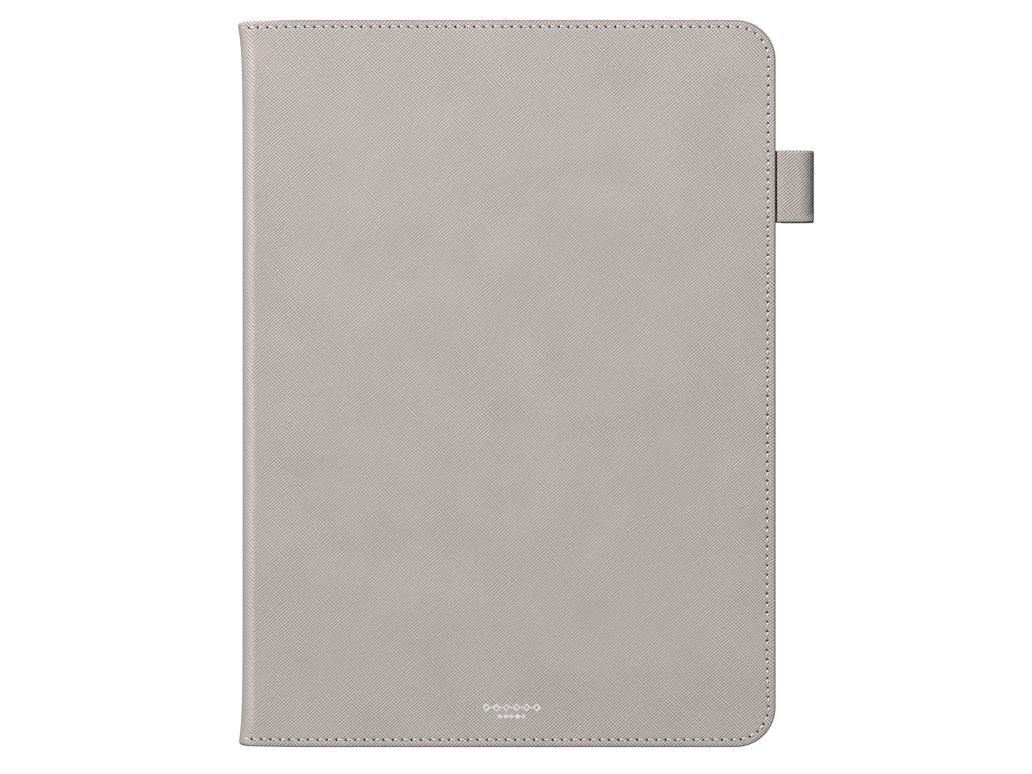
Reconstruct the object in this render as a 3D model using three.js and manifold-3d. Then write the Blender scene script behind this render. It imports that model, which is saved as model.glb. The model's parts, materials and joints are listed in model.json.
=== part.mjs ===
// Folio case for an 11-inch tablet, shut and lying on its back cover, in millimetres.
// +Z points out through the front cover, +Y to the top edge, -X to the spine, +X to the fore edge.
// The origin is on the outer face of the back cover, midway along the cover's height.
import * as THREE from "three";
import { mergeVertices } from "three/addons/utils/BufferGeometryUtils.js";
import Module from "manifold-3d";

const wasm = await Module();
wasm.setup();

// Outside of the case
const HEIGHT = 254;
const THICKNESS = 15;
const SPINE_X = -93.1; // outer face of the spine
const FORE_X = 93.2; // fore edge of both covers
const CORNER_R = 14; // the two fore corners of each cover
const EDGE_R = 0.9; // rounding of a turned edge
const FOLD_R = 4.8; // outer radius of the fold between a cover and the spine
const FOLD_X = SPINE_X + FOLD_R; // where a cover's flat face ends and its fold begins

// Layers of a cover, from the outer face inwards
const GLUE = 0.05; // glue line between two layers
const SKIN = 0.9;
const FOAM = 0.5;
const BOARD = 1.0;
const TURN_IN = 0.4; // skived leather turned in over the board
const LINING = 0.45;
const FOAM_Z = SKIN + GLUE;
const BOARD_Z = FOAM_Z + FOAM + GLUE;
const TURN_Z = BOARD_Z + BOARD + GLUE;
const LINING_Z = TURN_Z + TURN_IN + GLUE;
const COVER_T = LINING_Z + LINING;
const CORE_LEFT = FOLD_X + 0.3; // foam, board and lining stop at the fold
const TURN_WIDTH = 9; // how far the leather is turned in
const LINING_INSET = 1.6; // from the cover's edge to the lining's edge
const LINING_STEP = 0.1; // between the turned-in leather's edge and the lining's step
const PAST = 20; // how far a cutting solid runs past what it cuts

// Lockstitching near the edge: a needle thread outside and a bobbin thread inside
const STITCH_INSET = 2.4;
const THREAD_W = 0.6;
const THREAD_T = 0.25;
const GROOVE_W = 0.9;
const GROOVE_T = 0.32;
const THREAD_GAP = 0.02; // between the thread and the bottom of its groove

// Folds: each cover's skin reaches this far round the fold, and the spine's skin starts further on
const FOLD_LAP = 1; // how far the fold's section overlaps the flat skin
const COVER_ARC = THREE.MathUtils.degToRad(38);
const SPINE_ARC = THREE.MathUtils.degToRad(62);

// Layers of the spine, counted inwards from its outer face
const STIFFENER = 0.5;
const STIFFENER_AT = SKIN + GLUE;
const SPINE_TURN_AT = STIFFENER_AT + STIFFENER + GLUE;
const SPINE_LINING_AT = SPINE_TURN_AT + TURN_IN + GLUE;

// Tray for a tablet of 247.6 x 178.5 x 5.9 mm
const TABLET = { x: 178.5, y: 247.6, z: 5.9, r: 18 };
const TABLET_GAP = 0.3;
const WALL = 1.2;
const FLOOR = 1.0;
const LIP = 0.8; // how far the lip reaches in over the screen's border
const LIP_T = 0.6;
const LIP_GAP = 0.1; // between the tablet and the lip
const TRAY_EDGE_R = 0.3;
const ADHESIVE = 0.15;
const ADHESIVE_INSET = 6;
const TRAY_FROM_FORE = 1.5;
const TRAY_RIGHT = FORE_X - TRAY_FROM_FORE;
const TRAY_HALF_X = TABLET.x / 2 + TABLET_GAP + WALL;
const TRAY_HALF_Y = TABLET.y / 2 + TABLET_GAP + WALL;
const TRAY_X = TRAY_RIGHT - TRAY_HALF_X;
const TRAY_R = TABLET.r + TABLET_GAP + WALL;
const ADHESIVE_Z = COVER_T + GLUE;
const TRAY_Z = ADHESIVE_Z + ADHESIVE + GLUE;
const BAY_Z = TRAY_Z + FLOOR;
const LIP_Z = BAY_Z + TABLET.z + LIP_GAP;
const TRAY_TOP = LIP_Z + LIP_T;

// Openings in the tray's walls: x is measured from the tray's middle
const SLOT_LOW = BAY_Z + 1.2;
const SLOT_HIGH = LIP_Z - 0.6;
const NOTCH_HIGH = TRAY_TOP + 1; // a notch is open through the lip
const SPEAKER = { half: 12, low: SLOT_LOW, high: SLOT_HIGH };
const CHARGING_PORT = { x: 0, half: 7.5, low: SLOT_LOW - 0.6, high: SLOT_HIGH + 0.4 };
const MICROPHONE = { x: 0, half: 1.2, low: SLOT_LOW + 1, high: SLOT_HIGH - 1 };
const POWER_BUTTON = { x: TRAY_HALF_X - 30, half: 9, low: SLOT_LOW, high: NOTCH_HIGH };
const BOTTOM_SLOTS = [CHARGING_PORT, { x: -60, ...SPEAKER }, { x: 60, ...SPEAKER }];
const TOP_SLOTS = [{ x: -60, ...SPEAKER }, { x: 36, ...SPEAKER }, MICROPHONE, POWER_BUTTON];
const VOLUME_BUTTONS = { from: 66, to: 98 };
const STYLUS_SIDE = { from: -62, to: 38 };
const FORE_NOTCHES = [VOLUME_BUTTONS, STYLUS_SIDE];

// Camera hole in the back cover and the tray's collar inside it
const CAMERA_FROM_EDGE = 19.6; // from the tablet's fore edge and top edge
const CAMERA = {
  x: TRAY_RIGHT - WALL - TABLET_GAP - CAMERA_FROM_EDGE,
  y: TABLET.y / 2 - CAMERA_FROM_EDGE,
  half: 16,
  r: 9,
};
const COLLAR_GAP = 0.4;
const COLLAR_WALL = 1.3;
const COLLAR_Z = 0.5;
const CAMERA_TURN = 5;
const CAMERA_STITCH = 1.8;

// Pen loop: a strap folded into a D against the fore edge, its two ends glued into the front cover
const LOOP_WIDTH = 25.2;
const LOOP_Y = 68.8;
const LOOP_WALL_X = FORE_X + 0.65; // the flat side of the D
const LOOP_TIP_X = FORE_X + 13.6;
const LOOP_CREST_X = 100.2; // where the round end begins
const LOOP_MIDDLE_Z = 10.1;
const LOOP_HALF_T = 4.5; // half the thickness of the round end
const LOOP_RISE = 0.4; // how much higher the strap is beside the cover
const LOOP_CORNER = 0.5;
const LOOP_WALL_Z = 11.6; // lower end of the flat side
const LOOP_HEEL_X = 95.6; // lower corner of the D
const LOOP_HEEL_Z = 5.7;
const LOOP_SKIN = 0.6;
const LOOP_LINING = 0.35;
const TAIL_T = 0.8;
const TAIL_IN = 10; // how far the tail reaches into the cover
const TAIL_OUT = 0.3;
const TAIL_Z = LINING_Z - GLUE - TAIL_T; // from the cover's outer face
const TAIL_GAP = 0.3; // room for the tail in the layers round it

// Magnets set into the front board beside the fore edge
const MAGNET = { x: 5, y: 18, z: 0.8 };
const MAGNET_X = 79;
const MAGNET_YS = [-105, -40, 40, 105];
const SLEEP_MAGNET_R = 5;
const ROUND_STEPS = 24;
const MAGNET_GAP = 0.1;

// Foil-stamped ornament on the front cover: two rows of open lozenges, each row linked by a bar
const FOIL_X = 1.0;
const FOIL_T = 0.06;
const FOIL_GAP = 0.02; // between the leather and the foil
const FOIL_BAR = 0.16;
const FOIL_STROKE = 0.62; // width of a lozenge's stroke, across its corners
const FOIL_UPPER = { y: -113.2, half: 10.2, count: 6, halfX: 1.4, halfY: 1.45 };
const FOIL_LOWER = { y: -116.3, half: 5, count: 5, halfX: 0.85, halfY: 0.85 };

const CORNER_STEPS = 5;
const FOLD_STEPS = 4;
const LOOP_STEPS = 20;
const LOOP_CORNER_STEPS = 3;

// ---- Materials

function material(color, roughness, metalness = 0) {
  return new THREE.MeshStandardMaterial({ color, roughness, metalness });
}

const leather = material(0xb8b0ad, 0.55);
const microfibre = material(0xaaa39f, 0.95);
const foamSheet = material(0xe8e6e0, 0.9);
const greyBoard = material(0x9a948c, 0.9);
const threadYarn = material(0xe6e1dc, 0.6);
const trayPlastic = material(0xa9a29e, 0.45);
const adhesiveFilm = material(0xd9d4c8, 0.5);
const magnetSteel = material(0x9da0a3, 0.3, 1);
const foilMetal = material(0xe9e9ea, 0.25, 1);

// ---- Solids

function solid(geometry) {
  const bare = geometry.index ? geometry.toNonIndexed() : geometry.clone();
  bare.deleteAttribute("normal");
  bare.deleteAttribute("uv");
  const merged = mergeVertices(bare, 1e-4);
  const vertProperties = merged.attributes.position.array;
  const triVerts = new Uint32Array(merged.index.array);
  return new wasm.Manifold(new wasm.Mesh({ numProp: 3, vertProperties, triVerts }));
}

function geometryOf(body) {
  const mesh = body.getMesh();
  const geometry = new THREE.BufferGeometry();
  geometry.setAttribute("position", new THREE.BufferAttribute(mesh.vertProperties, 3));
  geometry.setIndex(new THREE.BufferAttribute(mesh.triVerts, 1));
  geometry.computeVertexNormals();
  return geometry;
}

function part(name, body, look) {
  const mesh = new THREE.Mesh(geometryOf(body), look);
  mesh.name = name;
  return mesh;
}

// A flat shape between two heights
function plate(shape, low, high) {
  const geometry = new THREE.ExtrudeGeometry(shape, {
    depth: high - low,
    bevelEnabled: false,
    curveSegments: CORNER_STEPS,
  });
  geometry.translate(0, 0, low);
  return solid(geometry);
}

// A flat shape between two heights whose edges are rounded; the shape grows outwards by the radius
function roundedPlate(shape, low, high, radius) {
  const geometry = new THREE.ExtrudeGeometry(shape, {
    depth: high - low - 2 * radius,
    bevelEnabled: true,
    bevelThickness: radius,
    bevelSize: radius,
    bevelSegments: 2,
    curveSegments: CORNER_STEPS,
  });
  geometry.translate(0, 0, low + radius);
  return solid(geometry);
}

// A section drawn in X and Z, run along Y
function bar(section, fromY, toY) {
  const geometry = new THREE.ExtrudeGeometry(section, {
    depth: toY - fromY,
    bevelEnabled: false,
    curveSegments: FOLD_STEPS,
  });
  geometry.rotateX(Math.PI / 2);
  geometry.translate(0, toY, 0);
  return solid(geometry);
}

function block(fromX, toX, fromY, toY, fromZ, toZ) {
  const geometry = new THREE.BoxGeometry(toX - fromX, toY - fromY, toZ - fromZ);
  geometry.translate((fromX + toX) / 2, (fromY + toY) / 2, (fromZ + toZ) / 2);
  return solid(geometry);
}

// ---- Outlines

// A cover's outline, moved in by inset on the three free edges, with its spine side at left
function coverOutline(inset, left) {
  const right = FORE_X - inset;
  const top = HEIGHT / 2 - inset;
  const r = CORNER_R - inset;
  const shape = new THREE.Shape();
  shape.moveTo(left, -top);
  shape.lineTo(right - r, -top);
  shape.absarc(right - r, r - top, r, -Math.PI / 2, 0);
  shape.lineTo(right, top - r);
  shape.absarc(right - r, top - r, r, 0, Math.PI / 2);
  shape.lineTo(left, top);
  shape.closePath();
  return shape;
}

// A band of the given width that follows the three free edges
function edgeBand(inset, width, left) {
  const shape = coverOutline(inset - width / 2, left);
  const inner = inset + width / 2;
  const right = FORE_X - inner;
  const top = HEIGHT / 2 - inner;
  const r = CORNER_R - inner;
  const band = new THREE.Shape();
  band.curves = shape.curves.slice(0, -1);
  band.currentPoint.set(left, HEIGHT / 2 - inset + width / 2);
  band.lineTo(left, top);
  band.lineTo(right - r, top);
  band.absarc(right - r, top - r, r, Math.PI / 2, 0, true);
  band.lineTo(right, r - top);
  band.absarc(right - r, r - top, r, 0, -Math.PI / 2, true);
  band.lineTo(left, -top);
  band.closePath();
  return band;
}

function roundedRect(x, y, halfX, halfY, r, Kind = THREE.Shape) {
  const shape = new Kind();
  shape.moveTo(x - halfX + r, y - halfY);
  shape.lineTo(x + halfX - r, y - halfY);
  shape.absarc(x + halfX - r, y - halfY + r, r, -Math.PI / 2, 0);
  shape.lineTo(x + halfX, y + halfY - r);
  shape.absarc(x + halfX - r, y + halfY - r, r, 0, Math.PI / 2);
  shape.lineTo(x - halfX + r, y + halfY);
  shape.absarc(x - halfX + r, y + halfY - r, r, Math.PI / 2, Math.PI);
  shape.lineTo(x - halfX, y - halfY + r);
  shape.absarc(x - halfX + r, y - halfY + r, r, Math.PI, 1.5 * Math.PI);
  shape.closePath();
  return shape;
}

// The camera hole's outline, grown outwards
function cameraOutline(grow, Kind) {
  const half = CAMERA.half + grow;
  return roundedRect(CAMERA.x, CAMERA.y, half, half, CAMERA.r + grow, Kind);
}

function trayOutline(inset) {
  return roundedRect(TRAY_X, 0, TRAY_HALF_X - inset, TRAY_HALF_Y - inset, TRAY_R - inset);
}

// Section of a layer of the spine, between two depths below its outer face, starting at an angle
// round each fold
function spineSection(outer, inner, angle) {
  const lowZ = FOLD_R;
  const highZ = THICKNESS - FOLD_R;
  const section = new THREE.Shape();
  section.absarc(FOLD_X, lowZ, FOLD_R - outer, 1.5 * Math.PI - angle, Math.PI, true);
  section.absarc(FOLD_X, highZ, FOLD_R - outer, Math.PI, Math.PI / 2 + angle, true);
  section.absarc(FOLD_X, highZ, FOLD_R - inner, Math.PI / 2 + angle, Math.PI);
  section.absarc(FOLD_X, lowZ, FOLD_R - inner, Math.PI, 1.5 * Math.PI - angle);
  section.closePath();
  return section;
}

// Section of a cover's skin where it starts round the fold
function coverFoldSection() {
  const section = new THREE.Shape();
  const start = 1.5 * Math.PI;
  section.moveTo(FOLD_X + FOLD_LAP, 0);
  section.lineTo(FOLD_X, 0);
  section.absarc(FOLD_X, FOLD_R, FOLD_R, start, start - COVER_ARC, true);
  section.absarc(FOLD_X, FOLD_R, FOLD_R - SKIN, start - COVER_ARC, start);
  section.lineTo(FOLD_X + FOLD_LAP, SKIN);
  section.closePath();
  return section;
}

// ---- A cover, built with its outer face down at z = 0

function coverSkin(hasCamera) {
  const right = FORE_X + PAST;
  const half = HEIGHT / 2;
  const keep = block(FOLD_X, right, -half - PAST, half + PAST, -1, LINING_Z);
  const outer = coverOutline(EDGE_R, SPINE_X - PAST);
  const wrapped = roundedPlate(outer, 0, LINING_Z - GLUE, EDGE_R).intersect(keep);
  let hollow = plate(coverOutline(SKIN, SPINE_X - PAST), SKIN, TURN_Z);
  const window = coverOutline(SKIN + TURN_WIDTH, SPINE_X - PAST);
  let opening = plate(window, TURN_Z - GLUE, LINING_Z + PAST);
  if (hasCamera) {
    hollow = hollow.subtract(plate(cameraOutline(SKIN), 0, COVER_T));
    opening = opening.subtract(plate(cameraOutline(SKIN + CAMERA_TURN), 0, COVER_T + PAST));
  }
  const groove = plate(edgeBand(STITCH_INSET, GROOVE_W, SPINE_X - PAST), -1, GROOVE_T);
  const fold = bar(coverFoldSection(), -half, half);
  let skin = wrapped.subtract(hollow).subtract(opening).add(fold).subtract(groove);
  if (hasCamera) {
    skin = skin.subtract(plate(cameraOutline(0), -PAST, PAST));
    skin = skin.subtract(cameraRing(GROOVE_W, -1, GROOVE_T));
  }
  return skin;
}

// A ring of the given width along the stitching round the camera hole
function cameraRing(width, low, high) {
  const ring = cameraOutline(CAMERA_STITCH + width / 2);
  ring.holes.push(cameraOutline(CAMERA_STITCH - width / 2, THREE.Path));
  return plate(ring, low, high);
}

function coverCore(low, high, hasCamera) {
  const sheet = plate(coverOutline(SKIN + GLUE, CORE_LEFT), low, high);
  return hasCamera ? sheet.subtract(plate(cameraOutline(SKIN + GLUE), -PAST, PAST)) : sheet;
}

// The lining lies over the turned-in leather and steps down on to the board inside it
function coverLining(hasCamera) {
  let over = plate(coverOutline(LINING_INSET, CORE_LEFT), LINING_Z, COVER_T);
  let inside = plate(coverOutline(SKIN + TURN_WIDTH + LINING_STEP, CORE_LEFT), TURN_Z, COVER_T);
  if (hasCamera) {
    over = over.subtract(plate(cameraOutline(LINING_INSET), -PAST, PAST));
    inside = inside.subtract(plate(cameraOutline(SKIN + CAMERA_TURN + LINING_STEP), -PAST, PAST));
  }
  const grooveTop = COVER_T + PAST;
  const groove = plate(
    edgeBand(STITCH_INSET, GROOVE_W, CORE_LEFT - PAST),
    COVER_T - GROOVE_T,
    grooveTop,
  );
  return over.add(inside).subtract(groove);
}

function needleThread() {
  const low = GROOVE_T - THREAD_T - THREAD_GAP;
  return plate(edgeBand(STITCH_INSET, THREAD_W, FOLD_X), low, low + THREAD_T);
}

function bobbinThread() {
  const high = COVER_T - THREAD_GAP;
  return plate(edgeBand(STITCH_INSET, THREAD_W, CORE_LEFT), high - THREAD_T, high);
}

// ---- Back cover with the tablet tray

function backCover() {
  const group = new THREE.Group();
  group.add(part("back_skin", coverSkin(true), leather));
  group.add(part("back_foam", coverCore(FOAM_Z, FOAM_Z + FOAM, true), foamSheet));
  group.add(part("back_board", coverCore(BOARD_Z, BOARD_Z + BOARD, true), greyBoard));
  group.add(part("back_lining", coverLining(true), microfibre));
  group.add(part("back_needle_thread", needleThread(), threadYarn));
  group.add(part("back_bobbin_thread", bobbinThread(), threadYarn));
  const ringLow = GROOVE_T - THREAD_T - THREAD_GAP;
  const ring = cameraRing(THREAD_W, ringLow, ringLow + THREAD_T);
  group.add(part("camera_hole_thread", ring, threadYarn));
  group.add(part("tray_adhesive", trayAdhesive(), adhesiveFilm));
  group.add(part("tablet_tray", tabletTray(), trayPlastic));
  return group;
}

function trayAdhesive() {
  const sheet = plate(trayOutline(ADHESIVE_INSET), ADHESIVE_Z, ADHESIVE_Z + ADHESIVE);
  return sheet.subtract(plate(cameraOutline(LINING_INSET), -PAST, PAST));
}

function tabletTray() {
  const shell = roundedPlate(trayOutline(TRAY_EDGE_R), TRAY_Z, TRAY_TOP, TRAY_EDGE_R);
  const bay = plate(trayOutline(WALL), BAY_Z, LIP_Z);
  const mouth = plate(trayOutline(WALL + LIP), LIP_Z - 1, TRAY_TOP + PAST);
  const collarTop = TRAY_Z + FLOOR / 2;
  const collar = plate(cameraOutline(-COLLAR_GAP), COLLAR_Z, collarTop);
  const lens = plate(cameraOutline(-COLLAR_GAP - COLLAR_WALL), -PAST, BAY_Z + 1);
  let tray = shell.subtract(bay).subtract(mouth).add(collar).subtract(lens);
  for (const cut of trayCuts()) tray = tray.subtract(cut);
  return tray;
}

// Openings in the tray's walls, each over the part of the tablet it serves
function trayCuts() {
  const end = TRAY_HALF_Y;
  const side = TRAY_RIGHT;
  const deep = WALL + LIP + 1;
  const bottom = ({ x, half, low, high }) =>
    block(TRAY_X + x - half, TRAY_X + x + half, -end - 1, deep - end, low, high);
  const top = ({ x, half, low, high }) =>
    block(TRAY_X + x - half, TRAY_X + x + half, end - deep, end + 1, low, high);
  const fore = ({ from, to }) => block(side - deep, side + 1, from, to, SLOT_LOW, NOTCH_HIGH);
  return [...BOTTOM_SLOTS.map(bottom), ...TOP_SLOTS.map(top), ...FORE_NOTCHES.map(fore)];
}

// ---- Spine

function spine() {
  const group = new THREE.Group();
  group.add(part("spine_skin", spineSkin(), leather));
  group.add(part("spine_stiffener", spineStiffener(), greyBoard));
  group.add(part("spine_lining", spineLining(), microfibre));
  return group;
}

function spineSkin() {
  const half = HEIGHT / 2;
  const turnEnd = SPINE_TURN_AT + TURN_IN;
  let skin = bar(spineSection(0, SKIN, SPINE_ARC), -half, half);
  for (const side of [-1, 1]) {
    const wrap = spinePanel(SKIN / 2, turnEnd, side * (half - SKIN), side * half);
    const flapEnd = side * (half - TURN_WIDTH);
    const flap = spinePanel(SPINE_TURN_AT, turnEnd, flapEnd, side * (half - SKIN / 2));
    skin = skin.add(wrap).add(flap);
  }
  return skin;
}

// A flat layer on the inside of the spine, between the two folds
function spinePanel(outer, inner, fromY, toY) {
  const low = Math.min(fromY, toY);
  const high = Math.max(fromY, toY);
  return block(SPINE_X + outer, SPINE_X + inner, low, high, FOLD_R, THICKNESS - FOLD_R);
}

function spineStiffener() {
  const end = HEIGHT / 2 - SKIN - GLUE;
  return spinePanel(STIFFENER_AT, STIFFENER_AT + STIFFENER, -end, end);
}

function spineLining() {
  const end = HEIGHT / 2 - LINING_INSET;
  return spinePanel(SPINE_LINING_AT, SPINE_LINING_AT + LINING, -end, end);
}

// ---- Front cover: the same build as the back cover, mirrored to face up

function frontCover() {
  const group = new THREE.Group();
  group.scale.z = -1;
  group.position.z = THICKNESS;
  const tailRoom = tailBlock(TAIL_GAP, GLUE);
  const board = coverCore(BOARD_Z, BOARD_Z + BOARD, false).subtract(tailRoom);
  const skin = coverSkin(false).subtract(tailRoom);
  group.add(part("front_skin", skin, leather));
  group.add(part("front_foam", coverCore(FOAM_Z, FOAM_Z + FOAM, false), foamSheet));
  group.add(part("front_board", magnetPockets(board), greyBoard));
  group.add(part("front_lining", coverLining(false), microfibre));
  group.add(part("front_needle_thread", needleThread(), threadYarn));
  group.add(part("front_bobbin_thread", bobbinThread(), threadYarn));
  group.add(part("pen_loop_tail", tailBlock(0, 0), leather));
  group.add(part("foil_ornament_upper", foilRow(FOIL_UPPER), foilMetal));
  group.add(part("foil_ornament_lower", foilRow(FOIL_LOWER), foilMetal));
  MAGNET_YS.forEach((y, i) => group.add(part(`closing_magnet_${i + 1}`, magnet(y, 0), magnetSteel)));
  group.add(part("sleep_magnet", sleepMagnet(0), magnetSteel));
  return group;
}

// The two strap ends, glued together and skived flat, between the turned-in edge and the lining
function tailBlock(sideGap, underGap) {
  const half = LOOP_WIDTH / 2 + sideGap;
  const out = sideGap > 0 ? PAST : TAIL_OUT;
  const low = TAIL_Z - underGap;
  const high = sideGap > 0 ? LINING_Z : TAIL_Z + TAIL_T;
  const inner = FORE_X - TAIL_IN - sideGap;
  return block(inner, FORE_X + out, LOOP_Y - half, LOOP_Y + half, low, high);
}

function magnet(y, gap) {
  const halfX = MAGNET.x / 2 + gap;
  const halfY = MAGNET.y / 2 + gap;
  const low = BOARD_Z + (BOARD - MAGNET.z) / 2;
  const over = gap > 0 ? BOARD : 0;
  const high = low + MAGNET.z + over;
  return block(MAGNET_X - halfX, MAGNET_X + halfX, y - halfY, y + halfY, low - over, high);
}

function sleepMagnet(gap) {
  const over = gap > 0 ? BOARD : 0;
  const tall = MAGNET.z + 2 * over;
  const radius = SLEEP_MAGNET_R + gap;
  const disc = new THREE.CylinderGeometry(radius, radius, tall, ROUND_STEPS);
  disc.rotateX(Math.PI / 2);
  disc.translate(MAGNET_X, 0, BOARD_Z + BOARD / 2);
  return solid(disc);
}

function magnetPockets(board) {
  let result = board.subtract(sleepMagnet(MAGNET_GAP));
  for (const y of MAGNET_YS) result = result.subtract(magnet(y, MAGNET_GAP));
  return result;
}

// A thin bar that links open lozenges, stamped in foil just above the leather
function foilRow({ y, half, count, halfX, halfY }) {
  const middles = Array.from(
    { length: count },
    (_, i) => FOIL_X - half + halfX + (i * 2 * (half - halfX)) / (count - 1),
  );
  const tipX = halfX * (1 - FOIL_BAR / halfY);
  const upper = middles.flatMap((x) => [
    new THREE.Vector2(x - tipX, y + FOIL_BAR),
    new THREE.Vector2(x, y + halfY),
    new THREE.Vector2(x + tipX, y + FOIL_BAR),
  ]);
  const lower = upper.map((point) => new THREE.Vector2(point.x, 2 * y - point.y));
  const row = new THREE.Shape([...lower, ...upper.reverse()]);
  for (const x of middles) row.holes.push(lozenge(x, y, halfX - FOIL_STROKE, halfY - FOIL_STROKE));
  return plate(row, -FOIL_T - FOIL_GAP, -FOIL_GAP);
}

function lozenge(x, y, halfX, halfY) {
  const corners = [[x - halfX, y], [x, y - halfY], [x + halfX, y], [x, y + halfY]];
  return new THREE.Path(corners.map(([cornerX, cornerY]) => new THREE.Vector2(cornerX, cornerY)));
}

// ---- Pen loop

// The D's outline, moved in by inset
function loopOutline(inset) {
  const points = [];
  const reach = LOOP_TIP_X - LOOP_CREST_X - inset;
  const halfT = LOOP_HALF_T - inset;
  for (let i = 0; i <= LOOP_STEPS; i++) {
    const turn = (Math.PI * i) / LOOP_STEPS - Math.PI / 2;
    const x = LOOP_CREST_X + reach * Math.cos(turn);
    points.push(new THREE.Vector2(x, LOOP_MIDDLE_Z + halfT * Math.sin(turn)));
  }
  const r = Math.max(LOOP_CORNER - inset, GLUE);
  const wall = LOOP_WALL_X + inset;
  const top = LOOP_MIDDLE_Z + halfT + LOOP_RISE;
  for (let i = 0; i <= LOOP_CORNER_STEPS; i++) {
    const turn = (Math.PI / 2) * (1 + i / LOOP_CORNER_STEPS);
    points.push(new THREE.Vector2(wall + r + r * Math.cos(turn), top - r + r * Math.sin(turn)));
  }
  points.push(new THREE.Vector2(wall, LOOP_WALL_Z));
  points.push(new THREE.Vector2(LOOP_HEEL_X + inset, LOOP_HEEL_Z + inset));
  return points;
}

function strap(outer, inner) {
  const section = new THREE.Shape(loopOutline(outer));
  section.holes.push(new THREE.Path(loopOutline(inner)));
  return bar(section, LOOP_Y - LOOP_WIDTH / 2, LOOP_Y + LOOP_WIDTH / 2);
}

function penLoop() {
  const group = new THREE.Group();
  group.add(part("pen_loop_skin", strap(0, LOOP_SKIN), leather));
  const liningAt = LOOP_SKIN + GLUE;
  group.add(part("pen_loop_lining", strap(liningAt, liningAt + LOOP_LINING), microfibre));
  return group;
}

const tabletCase = new THREE.Group();
tabletCase.add(backCover(), spine(), frontCover(), penLoop());

export default tabletCase;
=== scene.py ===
"""Looks of a folio case for an 11-inch tablet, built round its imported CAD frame.

Lengths are in millimetres until a mesh is made. The case lies shut on its back cover: +Z is out
through the front cover, +Y the top edge, -X the spine and +X the fore edge with the pen loop.
"""
import json
import math

import bmesh
import bpy
import numpy as np
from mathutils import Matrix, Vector


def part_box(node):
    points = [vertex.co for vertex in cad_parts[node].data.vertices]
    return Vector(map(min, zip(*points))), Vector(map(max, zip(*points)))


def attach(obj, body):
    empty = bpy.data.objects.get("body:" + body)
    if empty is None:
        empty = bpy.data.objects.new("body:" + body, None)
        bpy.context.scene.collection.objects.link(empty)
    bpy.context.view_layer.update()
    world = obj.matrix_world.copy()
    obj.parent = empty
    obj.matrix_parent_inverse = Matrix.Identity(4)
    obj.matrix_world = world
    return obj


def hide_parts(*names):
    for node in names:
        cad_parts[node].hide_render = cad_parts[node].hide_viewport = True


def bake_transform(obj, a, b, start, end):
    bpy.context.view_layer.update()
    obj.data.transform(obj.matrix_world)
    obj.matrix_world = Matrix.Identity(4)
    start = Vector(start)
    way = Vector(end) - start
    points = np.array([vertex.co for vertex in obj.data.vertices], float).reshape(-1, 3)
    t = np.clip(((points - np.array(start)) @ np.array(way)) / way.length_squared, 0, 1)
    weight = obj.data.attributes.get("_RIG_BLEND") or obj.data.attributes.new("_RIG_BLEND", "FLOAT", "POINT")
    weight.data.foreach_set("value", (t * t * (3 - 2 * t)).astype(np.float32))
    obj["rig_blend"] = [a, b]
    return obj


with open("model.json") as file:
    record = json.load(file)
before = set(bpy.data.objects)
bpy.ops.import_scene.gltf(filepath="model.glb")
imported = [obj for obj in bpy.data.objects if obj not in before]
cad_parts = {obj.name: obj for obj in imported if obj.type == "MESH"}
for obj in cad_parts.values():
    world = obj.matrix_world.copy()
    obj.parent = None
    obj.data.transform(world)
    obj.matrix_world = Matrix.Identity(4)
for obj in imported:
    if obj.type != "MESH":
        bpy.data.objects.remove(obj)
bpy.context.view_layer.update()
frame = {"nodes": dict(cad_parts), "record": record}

MM = 0.001


def box_mm(node):
    low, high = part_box(node)
    return low / MM, high / MM


front_high = box_mm("front_skin")[1]
spine_low = box_mm("spine_skin")[0]
lining_low = box_mm("front_lining")[0]
tray_low, tray_high = box_mm("tablet_tray")
loop_low, loop_high = box_mm("pen_loop_skin")
tail_low, tail_high = box_mm("pen_loop_tail")

# Outside of the case
HALF_H = front_high.y
THICK = front_high.z
FORE = front_high.x
SPINE = spine_low.x
CORNER_R = 14.0
FOLD_R = 4.8
FOLD_X = SPINE + FOLD_R

# Section from the middle of the spine, up its face, round the fold and over the cover
RISE = THICK / 2 - FOLD_R
ARC = FOLD_R * math.pi / 2
S_CORNER = RISE + ARC + FORE - CORNER_R - FOLD_X  # where the corners' centres lie
Y_CORNER = HALF_H - CORNER_R
SPINE_BULGE = 0.15
FLARE_TOP = 2.0  # the turned ends hold the spine out
FLARE_BOTTOM = 1.6
FLARE_DECAY = 9.0
FLARE_SHARE = 0.85  # of the fold, by which bulge and flare end
END_DIP = 0.3  # the ends of the spine are drawn in by this much
DIP_REACH = 26.0

# Leather and lining
COVER_T = THICK - lining_low.z
LEATHER_T = 0.42
TURNED_DEPTH = 2.95
OUTSIDE_DEPTH = 1.0  # leather nearer the outside than this is the side that shows
EDGE_R = 0.6
INNER_EDGE_R = 1.0
SPINE_TURNED_DEPTH = 1.92
SPINE_END_REACH = 1.7  # rounded over this length
SPINE_END_DROP = 1.2
BLUNT_UNTIL = 3.0  # from mid-spine, the edge is as blunt as here
BLUNT_FADE = 6.0  # then it becomes the cover's tight edge
TURN_IN = 9.0
SEAM_INSET = 2.5
SEAM_SINK = 0.12
SEAM_SPREAD = 0.45
LINING_T = 0.4
LINING_INSET = 1.6
LINING_SINK = 0.10
LINING_SPREAD = 0.3
LINING_SPINE_DEPTH = 2.4
LINING_REACH = 0.8  # of the fold, over which the lining turns

# The fore seam strays inwards towards the bottom
FORE_DRIFT = 0.3  # by mid-height
DRIFT_FROM = 0.5  # inset where leather starts to follow it
DRIFT_GROWTH = 1.7
DRIFT_UNTIL = 4.0  # inset where it starts to follow less
DRIFT_FADE = 6.0
DRIFT_CORNER = 15.0  # it ends over this length before a corner

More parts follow.
